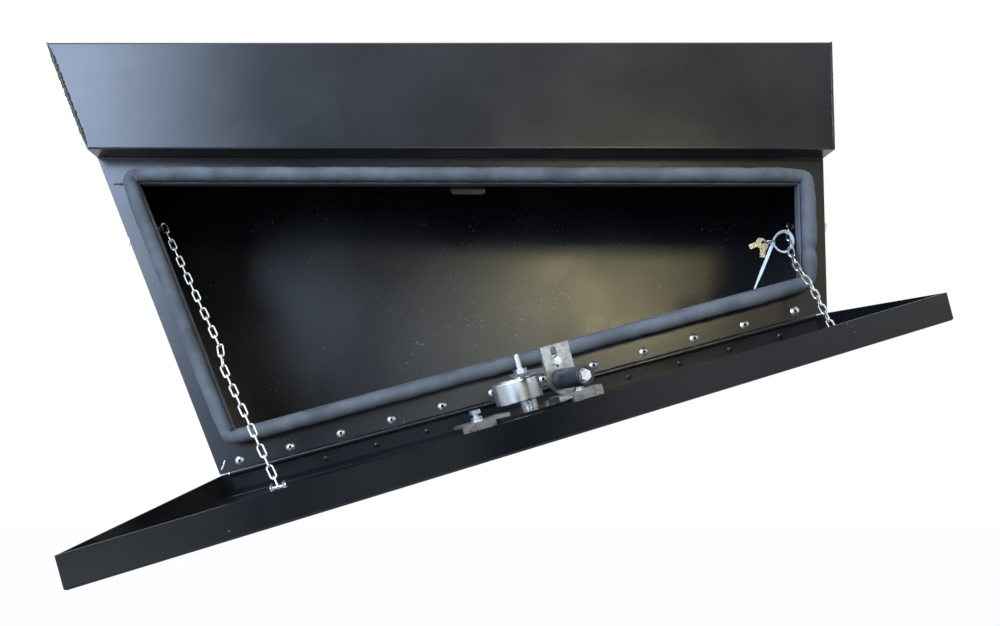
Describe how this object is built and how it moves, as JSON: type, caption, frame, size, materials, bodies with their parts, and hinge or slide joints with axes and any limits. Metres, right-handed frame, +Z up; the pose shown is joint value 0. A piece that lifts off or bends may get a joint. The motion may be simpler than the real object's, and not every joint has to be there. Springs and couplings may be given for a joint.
{
  "type": "underbody truck tool box",
  "caption": "Sheet-steel tool box with a sloping underside, a hinged drop-down door on two stay chains, a rubber door seal and a folding T-handle compression lock.",
  "frame": {"origin": "on the top mounting face, at the middle of its width, in the plane of the front frame's face", "axes": "+X to the right seen from the front, along the box's longest side; +Y into the box, away from the door; +Z up, out of the mounting face"},
  "size_m": [0.9564, 0.6319, 0.5712],
  "materials": {
    "black_powder_coat": "satin black powder coat with a fine orange peel",
    "door_seal_rubber": "matte black sponge and solid rubber",
    "bright_rivet": "satin aluminium",
    "black_rivet": "satin black",
    "zinc_steel": "zinc plated, soft satin",
    "bright_chain": "bright zinc plated",
    "gasket_rubber": "matte black",
    "black_nylon": "moulded black nylon, low sheen",
    "natural_nylon": "pale translucent nylon",
    "key_nickel": "nickel plated"
  },
  "bodies": {
    "box": {"left_side_panel": "black_powder_coat", "right_side_panel": "black_powder_coat", "floor_panel": "black_powder_coat", "hood_panel": "black_powder_coat", "back_panel": "black_powder_coat", "weld_beads": "black_powder_coat", "door_seal": "door_seal_rubber", "frame_hinge_leaf": "black_powder_coat", "hinge_pin": "zinc_steel", "frame_rivets": "bright_rivet", "strike_plate": "black_powder_coat", "left_chain_bolt": "zinc_steel", "right_chain_bolt": "zinc_steel"},
    "door": {"door_tray": "black_powder_coat", "door_hinge_leaf": "black_powder_coat", "door_rivets": "black_rivet", "left_chain_lug": "zinc_steel", "right_chain_lug": "zinc_steel", "chain_lug_pins": "zinc_steel", "latch_dish": "black_powder_coat", "latch_gasket": "gasket_rubber", "latch_sleeve": "zinc_steel", "clamp_claws": "zinc_steel", "clamp_screws": "zinc_steel", "clamp_nuts": "zinc_steel", "spring_drum": "zinc_steel", "drum_cap": "zinc_steel", "latch_spring": "zinc_steel"},
    "latch_rotor": {"index_washer": "zinc_steel"},
    "latch_arm": {"latch_spindle": "zinc_steel", "spindle_nut": "zinc_steel", "cam_plate": "zinc_steel", "roller_bracket": "zinc_steel", "slot_bolt": "zinc_steel", "slot_nut": "zinc_steel", "roller_bolt": "zinc_steel", "roller_nut": "zinc_steel", "roller_washers": "zinc_steel", "handle_pivot_pin": "zinc_steel"},
    "roller": {"latch_roller": "black_nylon"},
    "handle": {"t_handle": "zinc_steel"},
    "barrel": {"key_barrel": "zinc_steel"},
    "left_lower_links": {"left_chain_lower": "bright_chain"},
    "left_upper_links": {"left_chain_upper": "bright_chain"},
    "right_lower_links": {"right_chain_lower": "bright_chain"},
    "right_upper_links": {"right_chain_upper": "bright_chain", "cable_tie": "natural_nylon", "key_ring": "key_nickel", "keys": "key_nickel"}
  },
  "joints": [
    {"name": "door_hinge", "type": "hinge", "parent": "box", "child": "door", "pos_m": [-0.24608, -0.004, -0.49674], "axis": [-0.9646, 0, -0.2639], "range_deg": [0, 95.35]},
    {"name": "left_chain_swing", "type": "hinge", "parent": "door", "child": "left_lower_links", "pos_m": [-0.1592, -0.12578, -0.50355], "axis": [-0.9646, 0, -0.2639], "range_deg": [-15.5, 0]},
    {"name": "left_chain_bend", "type": "hinge", "parent": "left_lower_links", "child": "left_upper_links", "pos_m": [-0.23382, -0.06172, -0.36545], "axis": [-0.9646, 0, -0.2639], "range_deg": [-136.6, 0]},
    {"name": "right_chain_swing", "type": "hinge", "parent": "door", "child": "right_lower_links", "pos_m": [0.41265, -0.1208, -0.34662], "axis": [-0.9646, 0, -0.2639], "range_deg": [0, 6.3]},
    {"name": "right_chain_bend", "type": "hinge", "parent": "right_lower_links", "child": "right_upper_links", "pos_m": [0.40672, -0.04645, -0.27126], "axis": [-0.9646, 0, -0.2639], "range_deg": [-156.2, 0]},
    {"name": "latch_turn", "type": "hinge", "parent": "door", "child": "latch_rotor", "pos_m": [0.09542, -0.12487, -0.41506], "axis": [-0.2627, -0.0933, 0.9603], "range_deg": [-20, 70]},
    {"name": "cam_pull", "type": "slide", "parent": "latch_rotor", "child": "latch_arm", "axis": [-0.2627, -0.0933, 0.9603], "range_m": [0, 0.005]},
    {"name": "handle_fold", "type": "hinge", "parent": "latch_arm", "child": "handle", "pos_m": [0.10133, -0.12277, -0.43666], "axis": [0.8747, 0.397, 0.2779], "range_deg": [0, 90]},
    {"name": "key_turn", "type": "hinge", "parent": "handle", "child": "barrel", "pos_m": [0.10092, -0.1372, -0.41475], "axis": [-0.2627, -0.0933, 0.9603], "range_deg": [0, 90]},
    {"name": "roller_spin", "type": "hinge", "parent": "latch_arm", "child": "roller", "pos_m": [0.0909, -0.12648, -0.39854], "axis": [0.4072, -0.9131, 0.0227], "continuous": true}
  ],
  "couplings": [
    {"joint": "left_chain_swing", "follows": "door_hinge", "ratio": -0.162},
    {"joint": "left_chain_bend", "follows": "door_hinge", "ratio": -1.432},
    {"joint": "right_chain_swing", "follows": "door_hinge", "ratio": 0.0658},
    {"joint": "right_chain_bend", "follows": "door_hinge", "ratio": -1.6374},
    {"joint": "handle_fold", "follows": "cam_pull", "rad_per_m": 314}
  ]
}
